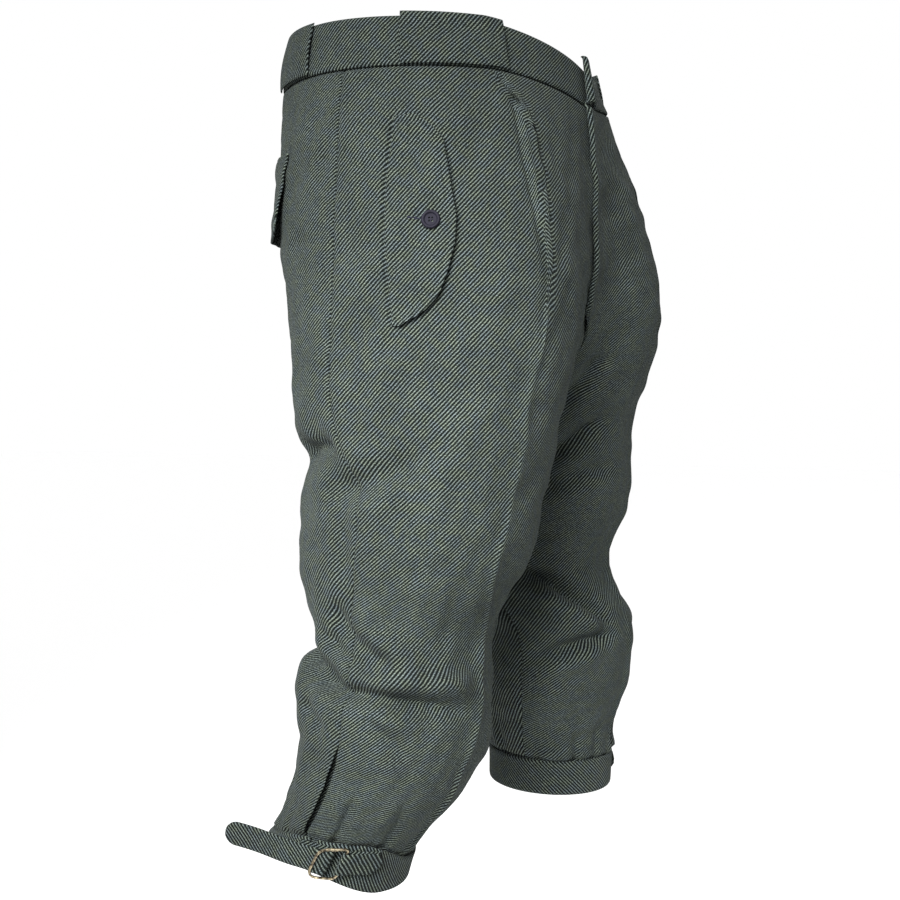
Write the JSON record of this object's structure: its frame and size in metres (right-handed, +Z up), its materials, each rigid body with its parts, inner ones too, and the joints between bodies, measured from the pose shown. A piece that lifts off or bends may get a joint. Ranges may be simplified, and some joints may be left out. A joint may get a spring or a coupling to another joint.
{
  "type": "knickerbockers",
  "caption": "Wool twill knickerbockers, filled out as if worn, with a lapped fly, wide belt loops, flapped pockets and buckled cuffs below the knee.",
  "frame": {"origin": "centre of the waist opening, just below the waistband's top edge", "axes": "+Z up, the front of the garment faces -Y, the wearer's left is at +X"},
  "size_m": [0.4359, 0.2887, 0.7028],
  "materials": {
    "wool_twill": "heavy napped twill",
    "buckle_brass": "worn wire",
    "button_plastic": "polished"
  },
  "bodies": {
    "root": {"front_right": "wool_twill", "front_left": "wool_twill", "back_right": "wool_twill", "back_left": "wool_twill", "vent_right": "wool_twill", "vent_left": "wool_twill", "waistband_right": "wool_twill", "waistband_left": "wool_twill", "belt_loop_side_right": "wool_twill", "belt_loop_side_left": "wool_twill", "belt_loop_back_right": "wool_twill", "belt_loop_back_left": "wool_twill", "side_flap_right": "wool_twill", "side_flap_left": "wool_twill", "hip_flap_right": "wool_twill", "hip_flap_left": "wool_twill", "cuff_right": "wool_twill", "cuff_left": "wool_twill", "strap_right": "wool_twill", "strap_left": "wool_twill", "buckle_tab_right": "wool_twill", "buckle_tab_left": "wool_twill", "buckle_right": "buckle_brass", "buckle_left": "buckle_brass", "button_right": "button_plastic", "button_left": "button_plastic"}
  },
  "joints": []
}
